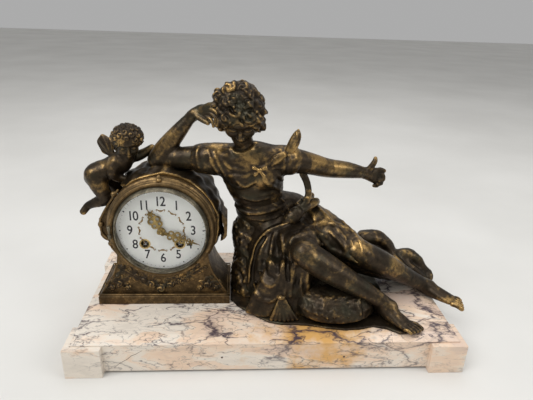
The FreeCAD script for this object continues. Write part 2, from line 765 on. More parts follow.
def openwork_hand(length, seat, low, lobes):
    """A pierced hand that points along +y: scrolled lobes in pairs about a tapering stem."""
    high = low + size("hand_thickness")
    boss = size("hand_boss_radius")
    solids = [many_sided_plate(Vector(0, 0, 0), boss, low, high, 18)]
    holes = []
    for at_share, side_share, radius_share in lobes:
        for side in (-1, 1):
            centre = Vector(side * length * side_share, length * at_share, 0)
            solids.append(many_sided_plate(centre, length * radius_share, low, high, 10))
            holes.append(many_sided_plate(centre, length * radius_share * 0.5, low - boss, high + boss, 6))
    stem = boss * 0.42
    rows = [[Vector(-stem, 0, level), Vector(stem, 0, level), Vector(stem * 0.45, length * 0.86, level),
             Vector(0, length, level), Vector(-stem * 0.45, length * 0.86, level)] for level in (low, high)]
    solids.append(faceted(rows))
    solids.append(bar(Vector(-stem * 1.6, length * 0.8, 0), Vector(stem * 1.6, length * 0.8, 0), stem * 0.9, low, high))
    hand = solids[0].fuse(solids[1:]).cut(holes)
    return hand.cut(Part.makeCylinder(seat, 3 * boss, Vector(0, 0, low - boss))).removeSplitter()


def turned_by(angle):
    """A turn about the dial's centre, in degrees against the clock."""
    return Placement(Vector(0, 0, 0), Rotation(Vector(0, 0, 1), angle))


def make_hands():
    pipe = pipe_radius()
    hour = openwork_hand(size("hour_hand_length"), pipe, size("hour_hand_height"),
                         ((0.3, 0.1, 0.12), (0.5, 0.12, 0.14), (0.68, 0.07, 0.085)))
    piece(feature("hour", hour), "hour_hand", CLOCK.multiply(turned_by(HOUR_HAND_ANGLE)))
    minute = openwork_hand(size("minute_hand_length"), size("arbor_radius"), size("minute_hand_height"),
                           ((0.24, 0.06, 0.075), (0.4, 0.07, 0.09), (0.56, 0.055, 0.07), (0.7, 0.035, 0.05)))
    piece(feature("minute", minute), "minute_hand", CLOCK.multiply(turned_by(MINUTE_HAND_ANGLE)))
    top = "(minute_hand_height + hand_thickness)"
    nut = spun("hand_nut", [("hand_nut_bore_radius", top), ("hand_nut_radius", top),
                            ("hand_nut_radius", top + " + hand_nut_height / 2"),
                            ("0.7 * hand_nut_radius", top + " + hand_nut_height"),
                            ("hand_nut_bore_radius", top + " + hand_nut_height")], 12)
    piece(nut, "hand_nut", CLOCK)


# Movement

def cannon_radius():
    return size("arbor_radius") + size("pipe_wall")


def pipe_radius():
    return cannon_radius() + size("arbor_play") + size("pipe_wall")


def direction(degrees):
    return Vector(math.cos(math.radians(degrees)), math.sin(math.radians(degrees)), 0)


def barrel_place(side):
    return Vector(side * size("winding_offset"), -size("winding_drop"), 0)


def distance(module_name, teeth, leaves):
    return size(module_name) * (teeth + leaves) / 2


def third_place():
    near = distance("centre_module", CENTRE_TEETH, THIRD_PINION_TEETH)
    far = distance("third_module", THIRD_TEETH, ESCAPE_PINION_TEETH)
    rise = size("escape_offset")
    angle = math.acos((near**2 + rise**2 - far**2) / (2 * near * rise))
    return Vector(near * math.sin(angle), near * math.cos(angle), 0)


def escape_place():
    return Vector(0, size("escape_offset"), 0)


def anchor_place():
    return Vector(0, size("anchor_offset"), 0)


def pin_place():
    return barrel_place(-1) + direction(95) * distance("barrel_module", BARREL_TEETH, PIN_PINION_TEETH)


def hammer_place():
    return Vector(-size("hammer_offset"), size("hammer_rise"), 0)


def minute_place():
    return direction(135) * size("motion_distance")


def bearing(start, end):
    return math.atan2(end.y - start.y, end.x - start.x)


def toothed(place, teeth, module, low, high, meets, gap_towards=False, pointed=False):
    """A toothed disc. A tooth, or a gap, lies on the line towards the wheel that it meets."""
    pitch = 2 * math.pi / teeth
    start = meets + (pitch / 2 if gap_towards else 0)
    radius = module * teeth / 2
    tip, root = radius + 0.8 * module, radius - (1.6 if pointed else 1.15) * module
    profile = ((-0.5, root), (0.0, tip)) if pointed else ((-0.3, root), (-0.11, tip), (0.11, tip), (0.3, root))
    points = []
    for tooth in range(teeth):
        for turn_share, reach in profile:
            angle = start + (tooth + turn_share) * pitch
            points.append(Vector(place.x + reach * math.cos(angle), place.y + reach * math.sin(angle), low))
    return Part.Face(Part.makePolygon(points + [points[0]])).extrude(Vector(0, 0, high - low))


def crossed_out(wheel, place, radius, hub, low, high, spokes):
    """Open a wheel between its rim and hub, leaving straight spokes."""
    thick = high - low
    opening = many_sided_plate(place, radius, low - thick, high + thick, 20)
    opening = opening.cut(many_sided_plate(place, hub, low - 2 * thick, high + 2 * thick, 10))
    for number in range(spokes):
        reach = direction(360.0 * number / spokes) * radius * 1.2
        opening = opening.cut(bar(place, place + reach, hub * 0.5, low - 2 * (high - low), high + 2 * (high - low)))
    return wheel.cut(opening)


FRONT_OUT = "(0 - front_plate_back)"
FRONT_IN = "(0 - front_plate_back - plate_thickness)"
BACK_IN = "(0 - front_plate_back - plate_thickness - plate_spacing)"
BACK_OUT = "(0 - front_plate_back - 2 * plate_thickness - plate_spacing)"
BARREL_FRONT = "(%s - barrel_gap)" % FRONT_IN
BARREL_END = "(%s - barrel_gap - barrel_height)" % FRONT_IN
DIAL_PLATE_BACK = "(0 - dial_thickness - dial_plate_thickness)"
MIDDLE = "((%s + %s) / 2)" % (FRONT_IN, BACK_IN)


def rod(name, place, radius, low, high):
    """An arbor or post along z between two depths."""
    item = document.addObject("Part::Cylinder", name)
    item.Placement = Placement(Vector(place.x, place.y, 0), Rotation())
    bind(item, Radius=radius, Height="(%s) - (%s)" % (high, low))
    return put(item, z=low)


def prism(name, place, sides, radius, low, high):
    """A many-sided drum or post along z between two depths."""
    item = document.addObject("Part::Prism", name)
    item.Polygon = sides
    item.Placement = Placement(Vector(place.x, place.y, 0), Rotation())
    bind(item, Circumradius=radius, Height="(%s) - (%s)" % (high, low))
    return put(item, z=low)


def wheel(name, place, teeth, module, low, high, meets, gap_towards=False, pointed=False, rim=0.0, spokes=0):
    """A wheel or a pinion between two depths; a wheel with spokes is opened behind its rim."""
    bottom, top = amount(low), amount(high)
    disc = toothed(place, teeth, module, bottom, top, meets, gap_towards, pointed)
    if spokes:
        inner = module * teeth * (0.5 - rim)
        disc = crossed_out(disc, place, inner, inner * 0.3, bottom, top, spokes)
    return feature(name, disc)


def drilled(name, item, ways):
    """Cut running holes for the arbors through a plate."""
    tools = [rod("%s_way_%d" % (name, n), place, radius, BACK_OUT + " - overrun", FRONT_OUT + " + overrun")
             for n, (place, radius) in enumerate(ways)]
    return cut(name, item, *tools)


def make_frame():
    centre = Vector(0, 0, 0)
    running = "arbor_radius + arbor_play"
    winding = "winding_arbor_radius + arbor_play"
    front_ways = [(centre, running), (barrel_place(1), winding), (barrel_place(-1), winding)]
    back_ways = [(anchor_place(), running), (hammer_place(), running)]
    front = rod("front_disc", centre, "movement_radius", FRONT_IN, FRONT_OUT)
    piece(drilled("front_plate", front, front_ways), "front_plate", CLOCK)
    back = rod("back_disc", centre, "movement_radius", BACK_OUT, BACK_IN)
    piece(drilled("back_plate", back, back_ways), "back_plate", CLOCK)
    pillars = []
    for number, angle in enumerate(PILLAR_ANGLES):
        post = direction(angle) * size("pillar_circle")
        pillars.append(prism("pillar_%d" % number, post, 12, "pillar_radius", BACK_IN, FRONT_IN))
    feet = []
    for number, angle in enumerate((100.0, 280.0)):
        foot = prism("dial_foot_%d" % number, direction(angle) * size("pillar_circle"), 10, "dial_foot_radius",
                     FRONT_OUT, DIAL_PLATE_BACK)
        feet.append(foot)
    feet.append(rod("minute_stud", minute_place(), "arbor_radius", FRONT_OUT, DIAL_PLATE_BACK + " - motion_gap"))
    piece(fuse("pillars", *pillars, *feet), "pillars_and_dial_feet", CLOCK)

    straps = []
    screws = []
    for number, angle in enumerate((35.0, 215.0)):
        turn = Rotation(Vector(0, 0, 1), angle)
        strap = document.addObject("Part::Box", "strap_%d" % number)
        strap.Placement = Placement(turn.multVec(Vector(size("strap_offset"), -size("strap_width") / 2, 0)), turn)
        bind(strap, Length="strap_thickness", Width="strap_width", Height="case_back + %s" % DIAL_PLATE_BACK)
        put(strap, z="-case_back")
        middle = direction(angle) * (size("strap_offset") + size("strap_thickness") / 2)
        straps.append(strap)
        back = "(-case_back - back_ring_thickness)"
        head = prism("screw_head_%d" % number, middle, 12, "screw_head_radius", back + " - screw_head_height", back)
        screws.append(head)
    piece(fuse("straps", *straps, *screws), "movement_straps", CLOCK)


def make_barrel(side, label, rim_low, rim_high, meets):
    place = barrel_place(side)
    name = label
    drum = prism(name + "_drum", place, 30, "barrel_drum_radius", BARREL_END, BARREL_FRONT)
    rim = wheel(name + "_rim", place, BARREL_TEETH, size("barrel_module"), rim_low, rim_high, meets, pointed=True)
    way = rod(name + "_way", place, "winding_arbor_radius + arbor_play", BACK_OUT, FRONT_OUT)
    piece(cut(name, fuse(name + "_solid", drum, rim), way), label, CLOCK)


def make_winding_arbor(side, label):
    place = barrel_place(side)
    shaft = rod(label + "_shaft", place, "winding_arbor_radius", BACK_IN, FRONT_OUT + " + winding_arbor_radius")
    square = document.addObject("Part::Box", label + "_square")
    half = size("winding_square") / 2
    square.Placement = Placement(Vector(place.x - half, place.y - half, 0), Rotation())
    bind(square, Length="winding_square", Width="winding_square", Height="front_plate_back - winding_arbor_radius - dial_thickness / 2")
    put(square, z=FRONT_OUT + " + winding_arbor_radius")
    piece(fuse(label, shaft, square), label, CLOCK)


def make_going_train():
    centre = Vector(0, 0, 0)
    thick = "wheel_thickness"
    make_barrel(1, "going_barrel", BARREL_END, BARREL_END + " + barrel_rim_thickness", bearing(barrel_place(1), centre))
    make_winding_arbor(1, "going_winding_arbor")

    centre_low = "(%s + 0.6 * wheel_thickness)" % BACK_IN
    spindle = rod("centre_spindle", centre, "arbor_radius", BACK_IN, "minute_hand_height + hand_thickness + hand_nut_height")
    pinion = wheel("centre_pinion", centre, CENTRE_PINION_TEETH, size("barrel_module"), BARREL_END + " - " + thick,
                   BARREL_END + " + pinion_length", bearing(centre, barrel_place(1)), True)
    large = wheel("centre_disc", centre, CENTRE_TEETH, size("centre_module"), centre_low, centre_low + " + " + thick,
                  bearing(centre, third_place()), pointed=True, rim=0.09, spokes=5)
    piece(fuse("centre", spindle, pinion, large), "centre_wheel", CLOCK)

    third = third_place()
    third_low = "(%s - 2.2 * wheel_thickness)" % FRONT_IN
    spindle = rod("third_spindle", third, "arbor_radius", BACK_IN, FRONT_IN)
    pinion = wheel("third_pinion", third, THIRD_PINION_TEETH, size("centre_module"), BACK_IN + " + " + thick + " / 5",
                   BACK_IN + " + pinion_length", bearing(third, centre), True)
    large = wheel("third_disc", third, THIRD_TEETH, size("third_module"), third_low, third_low + " + " + thick,
                  bearing(third, escape_place()), pointed=True, rim=0.09, spokes=4)
    piece(fuse("third", spindle, pinion, large), "third_wheel", CLOCK)

    escape = escape_place()
    spindle = rod("escape_spindle", escape, "arbor_radius", BACK_IN, FRONT_IN)
    pinion = wheel("escape_pinion", escape, ESCAPE_PINION_TEETH, size("third_module"), FRONT_IN + " - pinion_length",
                   FRONT_IN + " - wheel_thickness / 5", bearing(escape, third), True)
    module = size("escape_radius") / (ESCAPE_TEETH / 2 + 0.8)
    large = wheel("escape_disc", escape, ESCAPE_TEETH, module, MIDDLE + " - %s / 2" % thick, MIDDLE + " + %s / 2" % thick,
                  math.pi / 2, True, True, 0.16, 4)
    piece(fuse("escape", spindle, pinion, large), "escape_wheel", CLOCK)


def make_anchor():
    pivot = anchor_place()
    low, high = amount(MIDDLE) - size("anchor_thickness") / 2, amount(MIDDLE) + size("anchor_thickness") / 2
    width = size("anchor_arm_width")
    reach = size("escape_radius") + size("pallet_gap")
    solids = [tube(size("arbor_radius") + width / 2, 0, low, high, pivot)]
    for side in (-1, 1):
        way = direction(90 - side * 48)
        shoulder = escape_place() + way * (reach + width)
        solids.append(bar(pivot, shoulder, width, low, high))
        solids.append(bar(escape_place() + way * (reach + 1.4 * width), escape_place() + way * reach, width / 3, low, high))
        solids.append(tube(width / 2, 0, low, high, shoulder))
    claw = feature("pallets", solids[0].fuse(solids[1:]).removeSplitter())
    spindle = rod("anchor_spindle", pivot, "arbor_radius", BACK_OUT + " - pendulum_setback + 2 * pendulum_rod_radius", FRONT_IN)
    inner = BACK_OUT + " - pendulum_setback + pendulum_rod_radius + arbor_play"
    arm = block("crutch_arm", "anchor_arm_width", "crutch_length", "anchor_arm_width / 2", y="anchor_offset - crutch_length / 2",
                z=inner)
    fork = []
    for number, side in enumerate(("-1 * ", "")):
        fork.append(block("crutch_prong_%d" % number, "pendulum_rod_radius", "anchor_arm_width", "3 * pendulum_rod_radius",
                          side + "(1.5 * pendulum_rod_radius + arbor_play)", "anchor_offset - crutch_length + anchor_arm_width / 2",
                          BACK_OUT + " - pendulum_setback - pendulum_rod_radius"))
    bridge = block("crutch_bridge", "4 * pendulum_rod_radius + 2 * arbor_play", "anchor_arm_width", "anchor_arm_width / 2",
                   y="anchor_offset - crutch_length + anchor_arm_width / 2", z=inner)
    piece(fuse("anchor", claw, spindle, arm, bridge, *fork), "pallet_anchor", CLOCK)


def make_pendulum():
    depth = "(%s - pendulum_setback)" % BACK_OUT
    rod_top = "(anchor_offset - cock_height / 2)"
    stem = upright(cylinder("pendulum_stem", "pendulum_rod_radius", "pendulum_length - cock_height / 2", "0",
                            "anchor_offset - pendulum_length", depth))
    spring = box("suspension_strip", "spring_thickness", "1.5 * cock_height", "spring_width / 3", "-spring_thickness / 2",
                 rod_top + " - cock_height / 4", depth + " - spring_width / 6")
    piece(fuse("stem_and_spring", stem, spring), "pendulum_rod", CLOCK)
    lens = spun("bob", [("0", "-bob_thickness / 2"), ("bob_radius / 2", "-0.45 * bob_thickness"), ("bob_radius", "-bob_thickness / 8"),
                        ("bob_radius", "bob_thickness / 8"), ("bob_radius / 2", "0.45 * bob_thickness"), ("0", "bob_thickness / 2")], 30)
    put(lens, "0", "anchor_offset - pendulum_length", depth)
    way = upright(cylinder("bob_way", "pendulum_rod_radius", "pendulum_length", "0", "anchor_offset - pendulum_length", depth))
    piece(cut("bob_bored", lens, way), "pendulum_bob", CLOCK)
    cock_front = BACK_OUT
    solid = block("cock", "cock_width", "cock_height", "pendulum_setback + spring_width", y="anchor_offset + cock_height / 2 + 2 * arbor_radius",
                  z=cock_front + " - pendulum_setback - spring_width")
    slot = block("cock_slot", "spring_thickness + 2 * cock_gap", "cock_height + overrun", "spring_width",
                 y="anchor_offset + cock_height / 2", z=depth + " - spring_width / 2")
    piece(cut("cock_slotted", solid, slot), "suspension_cock", CLOCK)


def make_motion_work():
    centre = Vector(0, 0, 0)
    place = minute_place()
    low = "(%s + 1.2 * wheel_thickness)" % FRONT_OUT
    high = low + " + wheel_thickness"
    hour_low = "(%s - motion_gap - wheel_thickness)" % DIAL_PLATE_BACK
    hour_high = hour_low + " + wheel_thickness"
    module = 2 * size("motion_distance") / (CANNON_TEETH + MINUTE_TEETH)
    fine = 2 * size("motion_distance") / (MINUTE_PINION_TEETH + HOUR_TEETH)

    leaves = wheel("cannon_leaves", centre, CANNON_TEETH, module, low, high, bearing(centre, place), True)
    pipe = rod("cannon_pipe", centre, "arbor_radius + pipe_wall", low, "minute_hand_height")
    way = rod("cannon_way", centre, "arbor_radius", BACK_OUT, "minute_hand_height + overrun")
    piece(cut("cannon", fuse("cannon_solid", leaves, pipe), way), "cannon_pinion", CLOCK)

    large = wheel("minute_disc", place, MINUTE_TEETH, module, low, high, bearing(place, centre), pointed=True)
    leaves = wheel("minute_leaves", place, MINUTE_PINION_TEETH, fine, low, hour_high, bearing(place, centre), True)
    way = rod("minute_way", place, "arbor_radius + arbor_play", FRONT_OUT, "overrun")
    piece(cut("minute_pair", fuse("minute_solid", large, leaves), way), "minute_wheel", CLOCK)

    large = wheel("hour_disc", centre, HOUR_TEETH, fine, hour_low, hour_high, bearing(centre, place), pointed=True)
    pipe = rod("hour_pipe", centre, "arbor_radius + 2 * pipe_wall + arbor_play", hour_low, "hour_hand_height + hand_thickness")
    way = rod("hour_way", centre, "arbor_radius + pipe_wall + arbor_play", FRONT_OUT, "overrun")
    piece(cut("hour_pair", fuse("hour_solid", large, pipe), way), "hour_wheel", CLOCK)


def make_striking_work():
    rim_low = BARREL_FRONT + " - barrel_rim_thickness"
    make_barrel(-1, "striking_barrel", rim_low, BARREL_FRONT, bearing(barrel_place(-1), pin_place()))
    make_winding_arbor(-1, "striking_winding_arbor")

    place = pin_place()
    pin_low = "(%s - 2.4 * wheel_thickness)" % BARREL_END
    spindle = rod("pin_spindle", place, "arbor_radius", BACK_IN, FRONT_IN)
    leaves = wheel("pin_leaves", place, PIN_PINION_TEETH, size("barrel_module"), BARREL_FRONT + " - pinion_length", BARREL_FRONT,
                   bearing(place, barrel_place(-1)), True)
    disc = prism("pin_disc", place, 24, "pin_wheel_radius", pin_low, pin_low + " + wheel_thickness")
    pins = []
    for number in range(PIN_COUNT):
        spot = place + direction(360.0 * (number + 0.5) / PIN_COUNT) * (size("pin_wheel_radius") - 2 * size("pin_radius"))
        pins.append(prism("lifting_pin_%d" % number, spot, 6, "pin_radius", pin_low + " - wheel_thickness", pin_low))
    piece(fuse("pin_assembly", spindle, leaves, disc, *pins), "pin_wheel", CLOCK)

    pivot = hammer_place()
    plane = amount(BACK_OUT) - size("hammer_setback")
    towards = pin_place() - pivot
    tail_low = amount(pin_low) - size("wheel_thickness")
    arm_way = direction(24)
    head = pivot + arm_way * size("hammer_arm_length")
    thick = size("bell_arm_thickness")
    solids = [bar(pivot, pivot + towards.normalize() * size("hammer_tail_length"), thick, tail_low, tail_low + size("wheel_thickness")),
              bar(pivot, head, thick, plane, plane + thick),
              tube(size("hammer_head_radius"), 0, plane - size("hammer_head_length") / 2, plane + size("hammer_head_length") / 2, head)]
    parts = feature("hammer_arms", solids[0].fuse(solids[1:]))
    spindle = rod("hammer_spindle", pivot, "arbor_radius", BACK_OUT + " - hammer_setback", FRONT_IN)
    piece(fuse("hammer", parts, spindle), "bell_hammer", CLOCK)

    rim = "(%s - bell_gap)" % BACK_OUT
    crown = "(%s - bell_gap - bell_height)" % BACK_OUT
    bell = spun("bell", [("bell_radius", rim), ("0.9 * bell_radius", rim + " - 0.6 * bell_height"), ("0.55 * bell_radius", crown), ("0", crown),
                           ("0", crown + " + bell_wall"), ("0.53 * bell_radius", crown + " + bell_wall"),
                           ("0.9 * bell_radius - bell_wall", rim + " - 0.6 * bell_height + bell_wall / 2"),
                           ("bell_radius - bell_wall", rim)], 36)
    piece(bell, "bell", CLOCK)
    foot = direction(-22.4) * size("bell_stand_offset")
    post = prism("bell_post", foot, 12, "bell_stand_radius", crown + " - bell_arm_thickness", BACK_OUT)
    arm = feature("bell_arm", bar(foot, Vector(0, 0, 0) - direction(-22.4) * size("bell_arm_width"), size("bell_arm_width"),
                                  amount(crown) - size("bell_arm_thickness"), amount(crown)))
    piece(fuse("stand", post, arm), "bell_stand", CLOCK)


def make_back():
    back = "(-case_back - back_ring_thickness)"
    inner = "(movement_radius - plate_thickness)"
    ring = spun("ring", [(inner, back), ("back_ring_radius", back), ("back_ring_radius", "-case_back"), (inner, "-case_back")], 60)
    shut = "(%s - door_gap)" % back
    door = spun("door", [("door_radius", shut), ("door_radius", shut + " - door_thickness"),
                         ("0.9 * door_radius", shut + " - door_thickness - door_rise"), ("0", shut + " - door_thickness - door_rise"),
                         ("0", shut + " - door_rise"), ("0.88 * door_radius", shut + " - door_rise"),
                         ("door_radius - door_thickness", shut + " - door_thickness"), ("door_radius - door_thickness", shut)], 60)
    x = "(door_radius + hinge_knuckle_radius + hinge_gap)"
    z = "(%s - hinge_knuckle_radius - hinge_gap)" % back
    start = "(door_radius - door_thickness / 2)"
    swing, leaf, way, fixed, fixed_way, pin = hinge("door_hinge", x, z, x + " - " + start, start,
                                                    "hinge_knuckle_radius + hinge_gap", False)
    piece(cut("door_bored", fuse("door_and_knuckle", door, swing, leaf), way), "back_door", CLOCK)
    bored = cut("back_ring_bored", fuse("ring_and_knuckles", ring, *fixed), fixed_way)
    piece(fuse("ring_and_pin", bored, pin), "back_ring", CLOCK)


# The figure group: places as shares of its field, girths as shares of its girth

TORSO_SHARES = (
    (0.0850, 0.2200, 0.2204, 0.3300, 0.2800),
    (0.0775, 0.2100, 0.3012, 0.3800, 0.3200),
    (0.0350, 0.1700, 0.3588, 0.3300, 0.2700),
    (-0.0125, 0.1200, 0.4050, 0.2600, 0.2100),
    (-0.0275, 0.0950, 0.4819, 0.3000, 0.2400),
    (-0.0425, 0.0700, 0.5665, 0.3700, 0.2700),
    (-0.0550, 0.0400, 0.6358, 0.3700, 0.2100),
    (-0.0625, 0.0300, 0.6742, 0.2400, 0.1500),
    (-0.0675, 0.0250, 0.7050, 0.1300, 0.1100),
)
NECK_SHARES = (
    (-0.0600, 0.0400, 0.6358, 0.1300, 0.1300),
    (-0.0700, 0.0250, 0.7127, 0.1100, 0.1100),
    (-0.0800, 0.0100, 0.7819, 0.1050, 0.1100),
    (-0.0850, 0.0000, 0.8204, 0.1000, 0.1000),
)
HEAD_SHARES = (
    (-0.0850, -0.0071, 0.7518, 0.0800, 0.0700),
    (-0.0850, -0.0129, 0.7825, 0.1500, 0.1600),
    (-0.0850, -0.0301, 0.8307, 0.1950, 0.2200),
    (-0.0850, -0.0654, 0.8778, 0.2100, 0.2450),
    (-0.0850, -0.1023, 0.9142, 0.1900, 0.2200),
    (-0.0850, -0.1331, 0.9445, 0.1100, 0.1300),
)
HAIR_SHARES = (
    (-0.0850, 0.0496, 0.8396, 0.2000, 0.1500),
    (-0.0850, 0.0000, 0.8635, 0.2600, 0.2200),
    (-0.0850, -0.0589, 0.8964, 0.2900, 0.2800),
    (-0.0850, -0.1068, 0.9311, 0.2700, 0.2700),
    (-0.0850, -0.1415, 0.9590, 0.1800, 0.1900),
    (-0.0850, -0.1609, 0.9718, 0.0800, 0.0900),
)
UPPER_ARM_R_SHARES = (
    (-0.1100, 0.0300, 0.6512, 0.1700, 0.1700),
    (-0.1650, 0.0350, 0.6665, 0.1650, 0.1700),
    (-0.2300, 0.0550, 0.6627, 0.1350, 0.1400),
    (-0.2950, 0.0800, 0.6512, 0.1150, 0.1200),
    (-0.3300, 0.0950, 0.6473, 0.0800, 0.0900),
)
FOREARM_R_SHARES = (
    (-0.3275, 0.0900, 0.6319, 0.0900, 0.0900),
    (-0.3025, 0.0850, 0.6858, 0.1150, 0.1150),
    (-0.2600, 0.0775, 0.7704, 0.0950, 0.0950),
    (-0.2200, 0.0700, 0.8435, 0.0700, 0.0650),
    (-0.1975, 0.0500, 0.8627, 0.0900, 0.0500),
    (-0.1700, 0.0200, 0.8781, 0.0800, 0.0450),
    (-0.1550, 0.0050, 0.8819, 0.0500, 0.0350),
)
ARM_L_SHARES = (
    (0.0000, 0.0250, 0.6550, 0.1700, 0.1700),
    (0.0500, 0.0250, 0.6665, 0.1650, 0.1700),
    (0.1150, 0.0700, 0.6396, 0.1350, 0.1400),
    (0.1800, 0.1200, 0.6050, 0.1150, 0.1200),
    (0.2450, 0.1600, 0.5858, 0.1050, 0.1050),
    (0.3075, 0.1950, 0.5627, 0.0750, 0.0700),
    (0.3300, 0.2100, 0.5512, 0.0900, 0.0550),
    (0.3550, 0.2300, 0.5358, 0.0900, 0.0500),
    (0.3725, 0.2450, 0.5165, 0.0600, 0.0400),
)
THUMB_L_SHARES = (
    (0.3150, 0.2000, 0.5665, 0.0300, 0.0300),
    (0.3350, 0.2000, 0.5896, 0.0320, 0.0320),
    (0.3475, 0.2050, 0.6088, 0.0240, 0.0240),
)
SKIRT_SHARES = (
    (0.0500, 0.1000, 0.0060, 0.5800, 0.6400),
    (0.0500, 0.0900, 0.0742, 0.5800, 0.6000),
    (0.0600, 0.0700, 0.1704, 0.5600, 0.5600),
    (0.0600, 0.0800, 0.2588, 0.5200, 0.5000),
    (0.0550, 0.1200, 0.3281, 0.4600, 0.4200),
    (0.0300, 0.1400, 0.3742, 0.3800, 0.3400),
    (0.0050, 0.1350, 0.4050, 0.3100, 0.2700),
)
LAP_SHARES = (
    (0.0500, 0.1800, 0.2973, 0.3000, 0.2600),
    (0.0800, -0.0200, 0.3012, 0.2700, 0.2200),
    (0.1000, -0.1800, 0.2973, 0.2200, 0.1800),
    (0.1075, -0.2600, 0.2935, 0.1300, 0.1100),
)
FALL_SHARES = (
    (0.0700, -0.2000, 0.2588, 0.3000, 0.1400),
    (0.0550, -0.2300, 0.1819, 0.3000, 0.1400),
    (0.0350, -0.2500, 0.0973, 0.3400, 0.1200),
    (0.0250, -0.2600, 0.0060, 0.3800, 0.1300),
)
THIGH_R_SHARES = (
    (0.0400, 0.1500, 0.2742, 0.2700, 0.2500),
    (0.0700, -0.0200, 0.2973, 0.2400, 0.2200),
    (0.0950, -0.1700, 0.3050, 0.1900, 0.1800),
    (0.1050, -0.2600, 0.3012, 0.1200, 0.1200),
)
SHIN_R_SHARES = (
    (0.0900, -0.2400, 0.3204, 0.1400, 0.1300),
    (0.1300, -0.2500, 0.2781, 0.1700, 0.1600),
    (0.1950, -0.2700, 0.2165, 0.1550, 0.1450),
    (0.2750, -0.2900, 0.1435, 0.1150, 0.1100),
    (0.3400, -0.3100, 0.0819, 0.0900, 0.0950),
    (0.3550, -0.3150, 0.0665, 0.0950, 0.0900),
)
FOOT_R_SHARES = (
    (0.3300, -0.2850, 0.0742, 0.0900, 0.0900),
    (0.3500, -0.3250, 0.0473, 0.1000, 0.1000),
    (0.3750, -0.3750, 0.0281, 0.1050, 0.0700),
    (0.4000, -0.4250, 0.0150, 0.1000, 0.0450),
    (0.4175, -0.4550, 0.0088, 0.0700, 0.0300),
)
THIGH_L_SHARES = (
    (0.1100, 0.1700, 0.3204, 0.2800, 0.2600),
    (0.1750, 0.0600, 0.2973, 0.2500, 0.2300),
    (0.2350, -0.0400, 0.2704, 0.2000, 0.1900),
    (0.2825, -0.1250, 0.2512, 0.1400, 0.1400),
)
SHIN_L_SHARES = (
    (0.2600, -0.1100, 0.2665, 0.1400, 0.1400),
    (0.3000, -0.1100, 0.2358, 0.1700, 0.1600),
    (0.3700, -0.0950, 0.1781, 0.1500, 0.1450),
    (0.4500, -0.0700, 0.1012, 0.1100, 0.1100),
    (0.5050, -0.0500, 0.0512, 0.0900, 0.0950),
    (0.5225, -0.0450, 0.0358, 0.0900, 0.0900),
)
FOOT_L_SHARES = (
    (0.4950, -0.0300, 0.0512, 0.0900, 0.0900),
    (0.5175, -0.0600, 0.0358, 0.1000, 0.1000),
    (0.5500, -0.1200, 0.0242, 0.1050, 0.0700),
    (0.5850, -0.1750, 0.0185, 0.1000, 0.0500),
    (0.6075, -0.2100, 0.0146, 0.0700, 0.0350),
)
ROCK_SHARES = (
    (0.1000, 0.1000, 0.0060, 0.7400, 0.5600),
    (0.1050, 0.1000, 0.0742, 0.7000, 0.5200),
    (0.1100, 0.1100, 0.1512, 0.6000, 0.4400),
    (0.1050, 0.1400, 0.2204, 0.4600, 0.3400),
    (0.0900, 0.1700, 0.2665, 0.3000, 0.2200),
)
TRUNK_SHARES = (
    (-0.0200, 0.0400, 0.0060, 0.4000, 0.3600),
    (-0.0300, 0.0500, 0.0819, 0.3400, 0.3200),
    (-0.0450, 0.0700, 0.1896, 0.2400, 0.2400),
    (-0.0550, 0.0900, 0.3050, 0.1900, 0.1900),
    (-0.0500, 0.1100, 0.4127, 0.1300, 0.1300),
)
BACK_DRAPERY_SHARES = (
    (0.2150, 0.0700, 0.2127, 0.3000, 0.1600),
    (0.2950, 0.0900, 0.1588, 0.3200, 0.2000),
    (0.3750, 0.1000, 0.1127, 0.3000, 0.2000),
    (0.4550, 0.1000, 0.0742, 0.2200, 0.1700),
    (0.5150, 0.0900, 0.0435, 0.1400, 0.1200),
    (0.5500, 0.0800, 0.0242, 0.0800, 0.0800),
)
STONE_SHARES = (
    (0.2250, -0.2200, 0.0060, 0.4200, 0.3100),
    (0.2250, -0.2200, 0.0550, 0.4400, 0.3200),
    (0.2225, -0.2150, 0.0973, 0.3700, 0.2600),
    (0.2200, -0.2100, 0.1281, 0.2000, 0.1400),
)
TASSEL_SHARES = (
    (0.0350, -0.3000, 0.1281, 0.0700, 0.0500),
    (0.0400, -0.3100, 0.0742, 0.1100, 0.0700),
    (0.0450, -0.3150, 0.0060, 0.1700, 0.0900),
)
SASH_SHARES = (
    (0.0150, 0.1600, 0.3435, 0.3700, 0.3100),
    (-0.0075, 0.1300, 0.3819, 0.3300, 0.2800),
    (-0.0200, 0.1100, 0.4204, 0.3200, 0.2650),
)
KNOT_SHARES = (
    (0.0550, -0.0300, 0.3742, 0.0700, 0.0600),
    (0.0700, -0.0400, 0.4050, 0.1000, 0.0800),
    (0.0850, -0.0300, 0.4281, 0.0800, 0.0700),
)
LOOP_SHARES = (
    (0.0750, -0.0100, 0.4281, 0.0500, 0.0400),
    (0.1100, 0.0000, 0.4742, 0.0700, 0.0500),
    (0.1250, 0.0200, 0.5281, 0.0600, 0.0500),
    (0.1100, 0.0400, 0.5742, 0.0500, 0.0400),
)
SHOULDER_BOW_SHARES = (
    (0.0450, -0.0300, 0.7050, 0.0800, 0.0600),
    (0.0675, -0.0200, 0.7512, 0.1000, 0.0600),
    (0.0825, -0.0100, 0.7973, 0.0700, 0.0500),
    (0.0850, -0.0050, 0.8204, 0.0300, 0.0300),
)
CHERUB_BODY_SHARES = (
    (-0.5125, 0.0700, 0.5588, 0.0900, 0.0900),
    (-0.4925, 0.0700, 0.5819, 0.1400, 0.1300),
    (-0.4625, 0.0750, 0.6012, 0.1350, 0.1250),
    (-0.4275, 0.0800, 0.6319, 0.1500, 0.1350),
    (-0.4125, 0.0775, 0.6665, 0.1100, 0.1000),
    (-0.4075, 0.0750, 0.6858, 0.0700, 0.0700),
)
